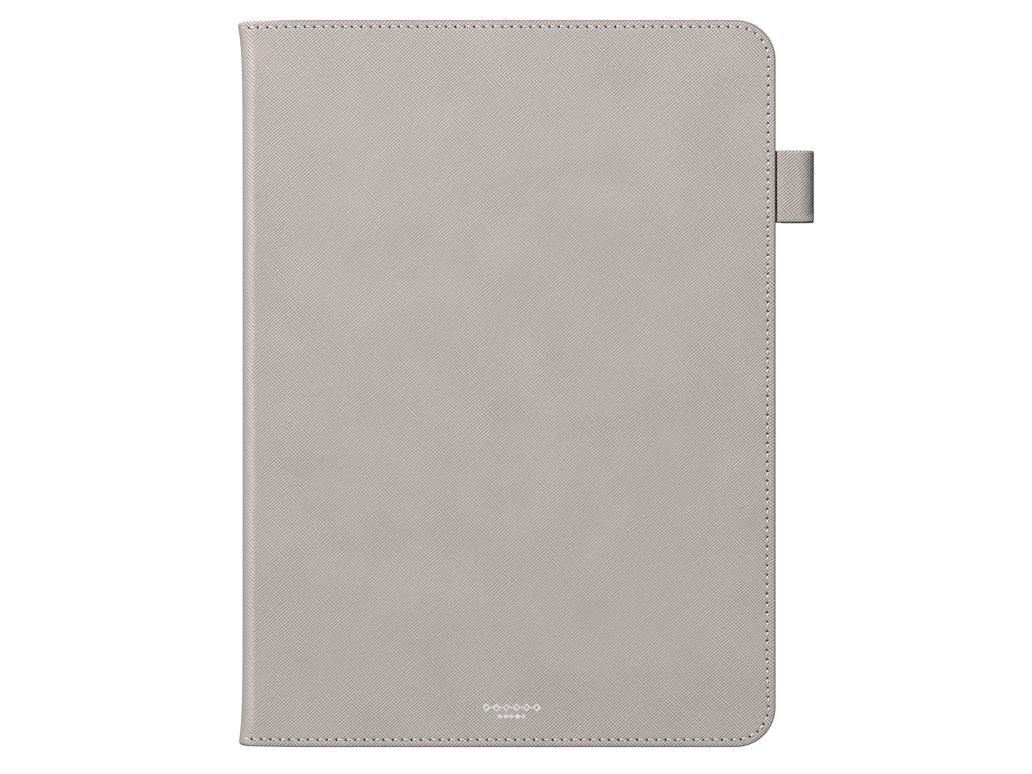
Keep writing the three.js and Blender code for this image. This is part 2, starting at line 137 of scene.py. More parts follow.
# Grid of a cover's sheets, close at the fold, the seam and the edge
FOLD_STEPS = 17
AFTER_FOLD = (0.6, 1.5, 3.0, 5.0)
FLAT_STEPS = 30
HEIGHT_STEPS = 41
EDGE_STEPS = 7
OUTER_INSETS = (CORNER_R, 11, 9, 7, 5.5, 4.6, 3.9, 3.4, 3.15, 2.95, 2.8, 2.65, SEAM_INSET)
OUTER_INSETS += (2.35, 2.2, 2.0, 1.75, 1.5)
EDGE_INSET = 1.4  # the edge's round starts within this inset
LEAST_TURN = 0.12
TURNED_INSETS = (2.4, 4.5, TURN_IN)
LINING_INSETS = (CORNER_R, 11, 8, 5.5, 4, 3.2)
LINING_SEAM_INSETS = (2.8, 2.55, SEAM_INSET, 2.25, 2.0)
LINING_RIM = ((1.75, 0.01), (LINING_INSET + 0.04, 0.05), (LINING_INSET, 0.14))

# Stitching
STITCH = 3.29
THREAD_R = 0.29
HOLE_SHARE = 0.05
STITCH_RISE = 0.80
STITCH_SINK = 0.74
STITCH_SKEW = 0.55  # below 1, the crest lies towards the high end
STITCH_SLANT = 0.14
BOBBIN_LIFT = 0.1
PLIES = 3
PLY_DEPTH = 0.12  # of the thread's radius
PLY_TWIST = 14.0
THREAD_RINGS = 11
THREAD_SIDES = 9
SEAM_R = CORNER_R - SEAM_INSET
SEAM_LENGTH = 2 * S_CORNER + SEAM_R * math.pi + 2 * Y_CORNER
STITCHES = round(SEAM_LENGTH / STITCH)
SEAM_PITCH = SEAM_LENGTH / STITCHES
SEAM_PHASE = 0.33  # of a stitch
SEAM_START = 2  # the count of the first stitch, in the fold
FIRST_HOLE = (SEAM_START + 0.5 - SEAM_PHASE) * STITCH  # from mid-spine, where needle holes begin
NEEDLE_X = 0.38  # half-sizes of a needle hole
NEEDLE_Y = 0.36

# Pen loop: a strap folded into a D against the fore edge
LOOP_GAP = 0.15  # the strap's wall is nearer the cover than in CAD
LOOP_CREST = 100.7
LOOP_HALF_T = 4.5
LOOP_CORNER = 0.25
LOOP_HEEL = (95.6, 5.7)
LOOP_TOP = (95.5, 97.0, 98.5)  # x of the route's points on top
LOOP_UNDER = ((98.6, 0.01), (97.2, 0.06))  # x and height above its lowest point
LOOP_BACK = ((94.9, 8.0), (94.2, 10.3), (94.0, 11.0))
LEAVE_R = 0.45  # where the strap turns up out of the cover
HEEL_R = 0.9
HEEL_LIFT = 0.85
ENTER_R = 0.6  # and where it goes back in
ENTER_GAP = 0.5
STRAP_T = 0.95
STRAP_EDGE = 0.85
STRAP_DROP = 0.45  # of its edges, and at most this share of its thickness
STRAP_LINING_T = 0.3
STRAP_LINING_INSET = 1.0
BEND_MARGIN = 0.2  # the bend starts and ends this far past the gap
TAIL_MARGIN = 0.2
GLUED = (6, 3, 1)  # places in from the fore edge
STRAP_LINING_GAP = 0.01
STRAP_EDGE_STEPS = 6
STRAP_STEPS = 9
STRAP_SHARP = 70  # degrees
CLEAR_FROM = 0.5  # short of the strap's wall, where it starts to thicken
CLEAR_OVER = 0.8
LINED_FROM = 0.3  # past its wall
TAIL_SHARE = 0.9  # of the room for the strap's two ends in the cover
STRAP_U = 300.0  # the grain's place where the strap starts
WALL_TOP = STRAP_U + 12.0  # and where it turns over, out of the gap beside the cover

# Camera hole, with a bound edge
CAMERA = Vector((70.6, 104.2))
CAMERA_HALF = 16.0
CAMERA_R = 9.0
CAMERA_SEAM = 2.3
CAMERA_EDGE = {"out_low": 0.0, "out_high": 1.2, "z_low": 0.02, "z_high": COVER_T - 0.05, "r": 0.55}
CAMERA_EDGE_U = 150.0  # added to its grain's place
CAMERA_EDGE_SHARP = 60  # degrees
CAMERA_SEAM_STEPS = 24
SKIN_HOLE = 1.25  # leather and lining are cut this far outside the hole
LINING_HOLE = 1.9
PAST = 5.0  # how far a cutter runs past what it cuts

# Tray
TRAY_R = 19.5
TRAY_WALL = 1.2
TRAY_LIP = 0.8
TRAY_FLOOR = 1.0
TRAY_MIDDLE = 9.0  # inset where its floor closes
BAY_Z = 4.7
FOOT_R = 0.8
RIM_R = 0.45
BAY_R = 0.5
LIP_END = ((-0.2, 0), (-0.05, -0.06), (0, -0.2), (0, -0.5), (-0.1, -0.6))  # (in, up) from its end
LIP_ROOT = ((0.1, -0.65), (0, -0.8))  # from the wall's face and the tray's top
COLLAR = {"out_low": -1.7, "out_high": -0.4, "z_low": 0.5, "z_high": BAY_Z - 0.3, "r": 0.35}
TRAY_STEPS = 5
TRAY_CORNER_STEPS = 12
TRAY_SHARP = 35  # degrees

# Openings in its walls: place along the wall and half-length
CHARGING_PORT = (0, 7.5)
PORT_EXTRA = (0.6, 0.4)  # lower and higher than a speaker's opening
BOTTOM_SPEAKERS = ((-60, 12), (60, 12))
TOP_SPEAKERS = ((-60, 12), (36, 12))
MICROPHONE = (0, 1.2)
MICROPHONE_LESS = 1  # at its top and bottom
POWER_BUTTON = (-30, 9)  # from the fore side
VOLUME_BUTTONS = (82, 16)
STYLUS_SIDE = (-12, 50)
SLOT_LOW = 1.2  # above the floor of the bay
SLOT_HIGH = 1.2  # below the top of the tray
NOTCH_HIGH = 3.0  # above it, open through the lip
SLOT_PAST = 1.0
SLOT_ROUND = 0.98
SLOT_STEPS = 6

# Colours, from dark to light
# the leather's dark end also paints shade into the grain's grooves
LEATHER_GROOVE_SHADE_TO_RIDGE = ((0.165, 0.142, 0.133), (0.78, 0.708, 0.675))
# colour of the darker band along the cover's edge
EDGE_DARKENING = (0.15, 0.115, 0.09)
GAP_SHADE = (0.040, 0.026, 0.020)
# dark strap edges: edge paint, and painted shade on the loop's lower edge
EDGE_PAINT_AND_SHADE = (0.022, 0.016, 0.013)
NEEDLE_SHADE = (0.010, 0.008, 0.008)
MICROFIBRE = ((0.245, 0.221, 0.209), (0.355, 0.326, 0.306))
THREAD = ((0.74, 0.72, 0.70), (0.90, 0.89, 0.875))
TRAY = ((0.290, 0.267, 0.253), (0.330, 0.305, 0.290))
FOIL = ((0.90, 0.90, 0.90), (0.99, 0.99, 0.99))
FOAM = ((0.72, 0.70, 0.66), (0.82, 0.80, 0.77))
BOARD = ((0.24, 0.21, 0.18), (0.36, 0.32, 0.28))
ADHESIVE = ((0.60, 0.58, 0.52), (0.68, 0.66, 0.60))
MAGNET = ((0.60, 0.60, 0.61), (0.72, 0.72, 0.73))

# Pressed grain: ridges that rise to the right, and ridges that fall
RISING = {"angle": 41, "pitch": 0.83, "seed": 3.1}
FALLING = {"angle": -45, "pitch": 0.93, "seed": 47.3}
WANDER = 1.3  # pitches by which a ridge strays slowly, and by which it jitters
JITTER = 0.22
WANDER_RATE = 0.045  # rates are per millimetre
JITTER_RATE = 0.9
STROKE_RATE = 0.22  # of the strong and weak lengths along a ridge
STROKE_SHIFT = 5.37  # between those of one ridge and of the next
PATCH_RATE = 0.23
FINE_RATE = 2.4
FINE_SHARE = 0.22
CLOUD_RATE = 0.05
CLOUD_SHARE = 0.12
SWAY_RATE = 0.07
SWAY = 2.4  # how far the grain's borders beside the fold stray
PRESS_DEPTH = 0.078
PRESS_STRENGTH = 0.88
CREST = (0.46, 0.08)  # of a pitch from a ridge's crest, where its height is 0 and 1
CONTRAST = (0.28, 0.72)  # noise that becomes 0 and 1
PATCH_CONTRAST = (0.34, 0.66)
SPECKLE_CONTRAST = (0.3, 0.7)

# Strength of the rising and the falling ridges where each share is 0 and where it is 1
RISE_IN_PATCH = (0.80, 1.04)
RISE_IN_STROKE = (0.50, 1.0)
RISE_OVER_FOLD = (1.0, 0.3)
RISE_ON_LOOP = (1.0, 1.35)
FALL_IN_PATCH = (0.76, 0.26)
FALL_IN_STROKE = (0.30, 1.0)
FALL_PAST_FOLD = (0.10, 1.0)
FALL_OVER_FOLD = 0.8
PRESS_OFF_SPINE = (0.10, 1.0)

# Places on the leather where a share is 0 and where it is 1: from mid-spine
OVER_FOLD = (9.8, 9.0)
PAST_FOLD = (9.6, 17.0)
OFF_SPINE = (6.1, 8.1)
# the paler band over the fold: stretched leather, and a painted highlight
PALE_HIGHLIGHT_FROM = (7.0, 8.4)
PALE_HIGHLIGHT_UNTIL = (10.2, 9.0)
EDGE_DARKENING_FROM = (10.0, 24.0)
ON_LOOP = (250.0, 251.0)
IN_GAP = (WALL_TOP + 0.30, WALL_TOP + 0.05)
# up from the middle
NEAR_TOP = (100.0, 121.0)
PALE_HIGHLIGHT_HEIGHT = (124.0, 112.0)
LOW_EDGE_DARKENING = (-127.0, -80.0)
HIGH_EDGE_DARKENING = (110.0, 127.0)
BESIDE_LOOP = (13.4, 12.4)  # this one up or down from the loop's middle
# in from the edge, or from a strap's face
EDGE_DARKENED_INSET = (0.72, 0.38)
SHADED = (0.42, 0.14)
PAINT_AND_SHADE_DEPTH = (0.06, 0.28)
NEEDLE_EDGE = (1.25, 0.8)  # in radii of a needle hole
NEEDLE_DEPTH = 6.0  # in depths of the press
TOP_SHIFT = 3.0  # nearer the spine, where the grain starts at the top
LOW_EDGE_DARKENING_SHARE = (0.15, 0.73)
HIGH_EDGE_DARKENING_SHARE = (0.0, 0.27)
PALE_HIGHLIGHT_SHARE = 0.11
EDGE_DARKENING_SHARE = 0.75
GAP_SHARE = 0.72
PAINT_AND_SHADE_SHARE = 0.95

# Camera, light and room
VIEW_WIDTH = 360.4  # of the front cover's plane, across the picture
VIEW_DISTANCE = 2000.0
VIEW_CENTRE = (2.5, -1.2)
SENSOR = 36.0
KEY_PLACE = (-0.92, 1.86, 1.62)  # metres
KEY_SIZE = 0.58
KEY_POWER = 82.0
ROOM_FACING = (-0.1, 0.9)  # cosines to the key light's direction
ROOM_LIGHT = (0.01, 0.44)
ROOM_COLOUR = (1.0, 0.995, 0.99, 1.0)
FLOOR_HALF = 6000.0
FLOOR_Z = -0.2
FLOOR_GLOW = 1.02

# ---- Materials


class Graph:
    """Short calls for a material's nodes."""

    def __init__(self, name):
        self.material = bpy.data.materials.new(name)
        self.material.use_nodes = True
        self.nodes = self.material.node_tree.nodes
        self.links = self.material.node_tree.links
        self.shader = self.nodes["Principled BSDF"]

    def put(self, value, socket):
        if isinstance(value, bpy.types.NodeSocket):
            self.links.new(value, socket)
        else:
            socket.default_value = value

    def math(self, operation, first, second=0.0, clamp=False):
        node = self.nodes.new("ShaderNodeMath")
        node.operation = operation
        node.use_clamp = clamp
        self.put(first, node.inputs[0])
        self.put(second, node.inputs[1])
        return node.outputs[0]

    def plus(self, first, second):
        return self.math("ADD", first, second)

    def minus(self, first, second):
        return self.math("SUBTRACT", first, second)

    def times(self, first, *others):
        for other in others:
            first = self.math("MULTIPLY", first, other)
        return first

    def size(self, value):
        """The value without its sign."""
        return self.math("ABSOLUTE", value)

    def between(self, share, at_none, at_full):
        """From one number to another as the share goes from 0 to 1."""
        return self.plus(at_none, self.times(share, at_full - at_none))

    def step(self, value, low, high, to_low=0.0, to_high=1.0):
        """value from low to high becomes to_low to to_high, smoothly and held at both ends."""
        node = self.nodes.new("ShaderNodeMapRange")
        node.interpolation_type = "SMOOTHSTEP"
        for number, socket in zip((value, low, high, to_low, to_high), node.inputs):
            self.put(number, socket)
        return node.outputs[0]

    def attribute(self, name):
        node = self.nodes.new("ShaderNodeAttribute")
        node.attribute_name = name
        return node.outputs["Vector"]

    def axes(self, vector):
        node = self.nodes.new("ShaderNodeSeparateXYZ")
        self.put(vector, node.inputs[0])
        return node.outputs

    def vector(self, x, y, z=0.0):
        node = self.nodes.new("ShaderNodeCombineXYZ")
        for value, socket in zip((x, y, z), node.inputs):
            self.put(value, socket)
        return node.outputs[0]

    def rest_place(self):
        """The point on the object, in metres."""
        return self.nodes.new("ShaderNodeTexCoord").outputs["Object"]

    def noise(self, vector, rate, detail=2.0, roughness=0.5, flat=False):
        node = self.nodes.new("ShaderNodeTexNoise")
        node.noise_dimensions = "2D" if flat else "3D"
        self.put(vector, node.inputs["Vector"])
        self.put(rate, node.inputs["Scale"])
        self.put(detail, node.inputs["Detail"])
        self.put(roughness, node.inputs["Roughness"])
        return node.outputs["Fac"]

    def mix(self, share, low, high):
        node = self.nodes.new("ShaderNodeMix")
        node.data_type = "RGBA"
        self.put(share, node.inputs[0])
        for colour, socket in ((low, node.inputs[6]), (high, node.inputs[7])):
            self.put((*colour, 1.0) if isinstance(colour, tuple) else colour, socket)
        return node.outputs[2]

    def bump(self, height, depth_mm, strength):
        node = self.nodes.new("ShaderNodeBump")
        self.put(height, node.inputs["Height"])
        self.put(depth_mm * MM, node.inputs["Distance"])
        self.put(strength, node.inputs["Strength"])
        return node.outputs[0]

    def set(self, **values):
        for name, value in values.items():
            self.put(value, self.shader.inputs[name.replace("_", " ")])


def ridges(g, u, v, angle, pitch, seed):
    """Ridges pressed along one direction: their height across, and their strength along."""
    turn = math.radians(angle)
    along = g.plus(g.times(u, math.cos(turn)), g.times(v, math.sin(turn)))
    across = g.minus(g.times(v, math.cos(turn)), g.times(u, math.sin(turn)))
    wander = g.noise(g.vector(g.plus(along, seed), across), WANDER_RATE, 1.0, flat=True)
    jitter = g.noise(g.vector(g.minus(along, seed), across), JITTER_RATE, 1.0, flat=True)
    phase = g.plus(g.math("DIVIDE", across, pitch), g.times(wander, WANDER))
    phase = g.plus(phase, g.times(jitter, JITTER))
    from_crest = g.size(g.minus(g.math("FRACT", phase), 0.5))
    stroke_place = g.vector(g.times(along, STROKE_RATE), g.times(g.math("FLOOR", phase), STROKE_SHIFT))
    stroke = g.noise(stroke_place, 1.0, 1.0, flat=True)
    return g.step(from_crest, *CREST), g.step(stroke, *CONTRAST)


class Hide:
    """Where a point of the leather lies, for the leather's patterns. Shares go from 0 to 1."""

    def __init__(self, g):
        self.grain = g.attribute("grain")
        self.u, self.v, self.depth = g.axes(self.grain)
        self.count, self.inset, self.outside = g.axes(g.attribute("seam"))
        self.from_spine = g.size(self.u)
        sway = g.noise(g.vector(0.0, g.times(self.v, SWAY_RATE)), 1.0, 2.0, flat=True)
        self.from_fold = g.plus(self.from_spine, g.times(g.minus(sway, 0.5), SWAY))
        self.on_loop = g.step(self.u, *ON_LOOP)
        self.on_cover = g.math("GREATER_THAN", g.size(self.count), 0.01)
        from_loop = g.size(g.minus(self.v, (loop_low.y + loop_high.y) / 2))
        on_fore_side = g.math("GREATER_THAN", self.u, 0.0)
        self.beside_loop = g.times(g.step(from_loop, *BESIDE_LOOP), on_fore_side)


def pressed_height(g, hide):
    """The cross-hatch, about 0 to 1: both ways on the cover, one way by the fold, faint on the spine."""
    rising, rising_stroke = ridges(g, hide.u, hide.v, **RISING)
    falling, falling_stroke = ridges(g, hide.u, hide.v, **FALLING)
    patch = g.step(g.noise(hide.grain, PATCH_RATE, 1.0, flat=True), *PATCH_CONTRAST)
    over_fold = g.step(hide.from_fold, *OVER_FOLD)
    past_fold = g.step(hide.from_fold, *PAST_FOLD, *FALL_PAST_FOLD)
    shift = g.step(hide.v, *NEAR_TOP, 0.0, TOP_SHIFT)
    off_spine = g.step(g.plus(hide.from_fold, shift), *OFF_SPINE, *PRESS_OFF_SPINE)
    rise = g.times(g.between(patch, *RISE_IN_PATCH), g.between(rising_stroke, *RISE_IN_STROKE))
    rise = g.times(rise, g.between(over_fold, *RISE_OVER_FOLD), g.between(hide.on_loop, *RISE_ON_LOOP))
    fall = g.times(g.between(patch, *FALL_IN_PATCH), g.between(falling_stroke, *FALL_IN_STROKE))
    fall = g.math("MAXIMUM", g.times(fall, past_fold), g.times(over_fold, FALL_OVER_FOLD))
    hatch = g.plus(g.times(g.minus(rising, 0.5), rise), g.times(g.minus(falling, 0.5), fall))
    fine = g.minus(g.noise(hide.grain, FINE_RATE, 2.0, 0.6), 0.5)
    return g.plus(g.plus(g.times(hatch, off_spine), 0.5), g.times(fine, FINE_SHARE))


def needle_holes(g, hide):
    """1 in the needle holes between stitches, on the outside only."""
    from_hole = g.minus(g.math("FRACT", g.plus(hide.count, 0.5)), 0.5)
    x = g.times(from_hole, STITCH / NEEDLE_X)
    y = g.math("DIVIDE", g.minus(hide.inset, SEAM_INSET), NEEDLE_Y)
    from_centre = g.math("POWER", g.plus(g.math("POWER", x, 2.0), g.math("POWER", y, 2.0)), 0.5)
    past_first = g.math("GREATER_THAN", hide.from_spine, FIRST_HOLE)
    return g.times(g.step(from_centre, *NEEDLE_EDGE), hide.outside, past_first)


def stretched_and_highlight_share(g, hide):
    """1 on the paler band over the fold: leather stretched there, and a painted highlight where the fold
    faces the light.
    """
    band = g.times(g.step(hide.from_fold, *PALE_HIGHLIGHT_FROM), g.step(hide.from_fold, *PALE_HIGHLIGHT_UNTIL))
    return g.times(band, g.step(g.size(hide.v), *PALE_HIGHLIGHT_HEIGHT))


def darkened_edge_share(g, hide):
    """1 along the cover's darkened edge: most at the top, least at the bottom, none under the loop."""
    low_darkening = g.step(hide.v, *LOW_EDGE_DARKENING, *LOW_EDGE_DARKENING_SHARE)
    darkening = g.plus(low_darkening, g.step(hide.v, *HIGH_EDGE_DARKENING, *HIGH_EDGE_DARKENING_SHARE))
    darkening = g.times(darkening, g.step(hide.from_spine, *EDGE_DARKENING_FROM))
    darkened = g.times(g.step(hide.inset, *EDGE_DARKENED_INSET), darkening, hide.on_cover)
    return g.times(darkened, g.between(hide.beside_loop, 1.0, 0.0))


def shaded_share(g, hide):
    """1 in the gap between the cover and the loop, on both."""
    on_edge = g.times(g.step(hide.inset, *SHADED), hide.beside_loop, hide.on_cover)
    on_strap = g.times(g.step(hide.u, *IN_GAP), hide.on_loop)
    return g.math("MAXIMUM", on_edge, on_strap)


def leather():
    """Greige coated leather, pressed with a fine diagonal cross-hatch and pierced along its seam."""
    g = Graph("greige_leather")
    hide = Hide(g)
    height = pressed_height(g, hide)
    hole = needle_holes(g, hide)
    cloud = g.minus(g.noise(hide.grain, CLOUD_RATE, 3.0, flat=True), 0.5)
    tone = g.plus(height, g.times(cloud, CLOUD_SHARE))
    # Paler over the fold: stretched leather, with a painted highlight.
    tone = g.math("ADD", tone, g.times(stretched_and_highlight_share(g, hide), PALE_HIGHLIGHT_SHARE), clamp=True)
    # The grain's height also sets its colour: darker in the grooves, partly the leather's tone, partly
    # painted shade beside the bump.
    colour = g.mix(tone, *LEATHER_GROOVE_SHADE_TO_RIDGE)
    # A darker band along the cover's edge, strongest at the top and weakest at the bottom.
    colour = g.mix(g.times(darkened_edge_share(g, hide), EDGE_DARKENING_SHARE), colour, EDGE_DARKENING)
    colour = g.mix(g.times(shaded_share(g, hide), GAP_SHARE), colour, GAP_SHADE)
    # Dark on the strap's rounded edges: edge paint, and painted shade on the loop's lower edge.
    colour = g.mix(g.times(g.step(hide.depth, *PAINT_AND_SHADE_DEPTH), PAINT_AND_SHADE_SHARE), colour, EDGE_PAINT_AND_SHADE)
    colour = g.mix(hole, colour, NEEDLE_SHADE)
    g.set(Base_Color=colour, Roughness=g.step(height, 0.0, 1.0, 0.60, 0.44), Specular_IOR_Level=0.35)
    sunk = g.minus(height, g.times(hole, NEEDLE_DEPTH))
    g.set(Normal=g.bump(sunk, PRESS_DEPTH, PRESS_STRENGTH))
    return g.material


def microfibre():
    """Brushed cloth: a fine nap over slow brush marks."""
    g = Graph("microfibre")
    place = g.rest_place()
    nap = g.noise(place, 2600.0, 4.0, 0.7)
    brush = g.noise(place, 90.0, 3.0, 0.6)
    tone = g.plus(g.times(nap, 0.8), g.times(brush, 0.2))
    g.set(Base_Color=g.mix(g.step(tone, *SPECKLE_CONTRAST), *MICROFIBRE), Roughness=0.95)
    g.set(Specular_IOR_Level=0.2, Sheen_Weight=0.35, Sheen_Roughness=0.45)
    g.set(Normal=g.bump(nap, 0.06, 0.7))
    return g.material


def tray_plastic():
    """Moulded plastic with a fine texture."""
    g = Graph("tray_plastic")
    place = g.rest_place()
    texture = g.noise(place, 1900.0, 2.0, 0.5)
    cloud = g.noise(place, 26.0, 2.0)
    tone = g.plus(g.times(texture, 0.75), g.times(cloud, 0.25))
    g.set(Base_Color=g.mix(g.step(tone, *SPECKLE_CONTRAST), *TRAY))
    g.set(Roughness=g.step(texture, *SPECKLE_CONTRAST, 0.42, 0.55))
    g.set(Normal=g.bump(texture, 0.02, 0.7))
    return g.material


def speckled(name, colours, rate, roughness, depth=0.03, coarseness=0.6, **values):
    """A material whose colour, surface and, given two roughnesses, gloss vary with a fine noise."""
    g = Graph(name)
    speckle = g.noise(g.rest_place(), rate, 3.0, coarseness)
    if isinstance(roughness, tuple):
        roughness = g.step(speckle, *SPECKLE_CONTRAST, *roughness)
    colour = g.mix(g.step(speckle, *SPECKLE_CONTRAST), *colours)
    g.set(Base_Color=colour, Roughness=roughness, **values)
    g.set(Normal=g.bump(speckle, depth, 0.5))
    return g.material


LOOKS = {
    "leather": leather(),
    "lining": microfibre(),
    "thread": speckled("thread", THREAD, 5200.0, 0.34, 0.02, 0.7, Specular_IOR_Level=0.7),
    "tray": tray_plastic(),
    "foil": speckled("silver_foil", FOIL, 1500.0, (0.32, 0.5), 0.02, Metallic=0.15),
    "foam": speckled("foam_sheet", FOAM, 2400.0, 0.9),
    "board": speckled("fibre_board", BOARD, 900.0, 0.9),
    "adhesive": speckled("adhesive_film", ADHESIVE, 400.0, 0.4),
    "magnet": speckled("nickel_plate", MAGNET, 700.0, 0.28, 0.005, Metallic=1.0),
}

# ---- Meshes


def add_object(name, data, place=(0, 0, 0)):
    """An object in the scene, at a place in metres."""
    item = bpy.data.objects.new(name, data)
    item.location = place
    bpy.context.scene.collection.objects.link(item)
    return item


def add_mesh(name, points, faces):
    """A mesh object from points in millimetres."""
    mesh = bpy.data.meshes.new(name)
    mesh.from_pydata([tuple(p) for p in np.asarray(points, float) * MM], [], faces)
    return add_object(name, mesh)


def make_piece(name, points, faces, look, smooth_angle=180):
    """A mesh with a look, smooth except across its open borders and edges sharper than the angle."""
    piece = add_mesh(name, points, faces)
    piece.data.validate()
    piece.data.materials.append(LOOKS[look])
    shade(piece, smooth_angle)
    return piece


def shade(piece, smooth_angle):
    """Smooth shading, but for the open borders and the edges sharper than the angle."""
    mesh = piece.data
    mesh.polygons.foreach_set("use_smooth", [True] * len(mesh.polygons))
    work = bmesh.new()
    work.from_mesh(mesh)
    for edge in work.edges:
        edge.smooth = len(edge.link_faces) == 2 and edge.calc_face_angle() <= math.radians(smooth_angle)
    work.to_mesh(mesh)
    work.free()


def put_vectors(piece, name, values):
    """Gives each vertex its vector of this name, made first if there is none."""
    attributes = piece.data.attributes
    attribute = attributes.get(name) or attributes.new(name, "FLOAT_VECTOR", "POINT")
    attribute.data.foreach_set("vector", np.asarray(values, np.float32).ravel())


def read_vectors(piece, name):
    values = np.empty(3 * len(piece.data.vertices), np.float32)
    piece.data.attributes[name].data.foreach_get("vector", values)
    return values.reshape(-1, 3).astype(float)


def ring_faces(rings, count, closed=False, base=0):
    """Faces between rings of equal count. Without closed, the first and last ring are filled in."""
    faces = []
    for i in range(rings if closed else rings - 1):
        low, high = base + i * count, base + (i + 1) % rings * count
        for j in range(count):
            n = (j + 1) % count
            faces.append((low + j, low + n, high + n, high + j))
    if not closed:
        faces.append([base + j for j in range(count)][::-1])
        faces.append([base + (rings - 1) * count + j for j in range(count)])
    return faces


def smooth_share(x):
    x = min(1.0, max(0.0, x))
    return x * x * (3 - 2 * x)


def section_point(s, y, depth):
    """Place and outward normal on the section of the front half, s from the middle of the spine and
    depth in from the outside. The flare at the spine's ends fades towards the inside."""
    if s <= RISE:
        x, z, nx, nz = SPINE, THICK / 2 + s, -1.0, 0.0
    elif s <= RISE + ARC:
        turn = (s - RISE) / FOLD_R
        nx, nz = -math.cos(turn), math.sin(turn)
        x, z = FOLD_X + FOLD_R * nx, THICK - FOLD_R + FOLD_R * nz
    else:
        x, z, nx, nz = FOLD_X + s - RISE - ARC, THICK, 0.0, 1.0
    held = math.cos(math.pi / 2 * min(1.0, s / (RISE + FLARE_SHARE * ARC))) ** 2
    held *= 1 - smooth_share(depth / SPINE_TURNED_DEPTH)
    flare = FLARE_TOP if y > 0 else FLARE_BOTTOM
    x -= held * (SPINE_BULGE + flare * math.exp((abs(y) - HALF_H) / FLARE_DECAY))
    return np.array([x - nx * depth, 0.0, z - nz * depth]), np.array([nx, 0.0, nz])


def drawn_in(s, y):
    """y with the ends of the spine drawn in."""
    return y * (1 - END_DIP / HALF_H * (1 - smooth_share((s - RISE) / DIP_REACH)))


def section_steps():
    """Where the sheet's columns stand, from the middle of the spine to the corners' centres."""
    fold = np.linspace(RISE, RISE + ARC, FOLD_STEPS)
    after = RISE + ARC + np.array(AFTER_FOLD)
    flat = np.linspace(after[-1], S_CORNER, FLAT_STEPS)[1:]
    return np.concatenate([[0.0, RISE / 2], fold, after, flat])


def with_length(rows):
    """Rows of inset and depth, with the length along them added."""
    rows = np.array(rows)
    steps = np.hypot(np.diff(rows[:, 0]), np.diff(rows[:, 1]))
    return np.column_stack([rows, np.concatenate([[0.0], np.cumsum(steps)])])


def seam_groove(inset, sink, spread):
    return sink * math.exp(-(((inset - SEAM_INSET) / spread) ** 2))


def edge_profile(reach, drop, turned, sink):
    """Inset, depth and length along the leather, from the corner's centre over an edge rounded over
    this reach and drop, and back in at the turned depth."""
    rows = []
    for inset in OUTER_INSETS:
        rounded = drop * (1 - math.sqrt(1 - max(0.0, 1 - inset / reach) ** 2))
        rows.append((inset, rounded + seam_groove(inset, sink, SEAM_SPREAD)))
    first = max(LEAST_TURN, math.asin(max(0.0, 1 - EDGE_INSET / reach)))
    for turn in np.linspace(first, math.pi / 2, EDGE_STEPS):
        rows.append((reach * (1 - math.sin(turn)), drop * (1 - math.cos(turn))))
    inner = min(INNER_EDGE_R, turned - drop)
    for turn in np.linspace(math.pi / 2, math.pi, EDGE_STEPS):
        rows.append((inner * (1 - math.sin(turn)), turned - inner * (1 + math.cos(turn))))
    rows += [(inset, turned) for inset in TURNED_INSETS]
    return with_length(rows)


def lining_profile():
    """The same for a lining, whose depth is counted back from its visible face."""
    rows = [(inset, 0.0) for inset in LINING_INSETS]
    rows += [(inset, seam_groove(inset, LINING_SINK, LINING_SPREAD)) for inset in LINING_SEAM_INSETS]
    return with_length([*rows, *LINING_RIM])


SPINE_EDGE = edge_profile(SPINE_END_REACH, SPINE_END_DROP, SPINE_TURNED_DEPTH, 0.0)
COVER_EDGE = edge_profile(EDGE_R, EDGE_R, TURNED_DEPTH, SEAM_SINK)
LINING_EDGE = lining_profile()


def leather_edge(s):
    """The edge profile at a place along the section: blunt on the spine, tight on the cover."""
    share = smooth_share((s - BLUNT_UNTIL) / BLUNT_FADE)
    return (1 - share) * SPINE_EDGE + share * COVER_EDGE


def lining_depth(s):
    """Depth of the lining's visible face."""
    share = smooth_share((s - RISE) / ARC)
    return LINING_SPINE_DEPTH + (COVER_T - LINING_SPINE_DEPTH) * share


def leather_at(s, depth):
    return depth


def lining_at(s, depth):
    return lining_depth(s) - depth


def stray(place):
    """The place moved with the fore seam, which lies further in towards the bottom."""
    inset = FORE - place[0]
    near = smooth_share((inset - DRIFT_FROM) / DRIFT_GROWTH)
    near *= 1 - smooth_share((inset - DRIFT_UNTIL) / DRIFT_FADE)
    near *= smooth_share((Y_CORNER - abs(place[1])) / DRIFT_CORNER)
    return place - np.array([FORE_DRIFT * near * (1 - place[1] / HALF_H), 0.0, 0.0])


def seam_count(s, y, a, b, turn):
    """How many stitches along the seam, from the middle of the spine round by the bottom edge."""
    corner = SEAM_R * math.pi / 2
    if a == 0 and y < 0:
        run = s
    elif a == 0:
        run = 2 * S_CORNER + 2 * corner + 2 * Y_CORNER - s
    elif b == 0:
        run = S_CORNER + corner + y + Y_CORNER
    elif y < 0:
        run = S_CORNER + SEAM_R * (math.pi / 2 - turn)
    else:
        run = S_CORNER + corner + 2 * Y_CORNER + SEAM_R * turn
    return run / SEAM_PITCH + SEAM_PHASE


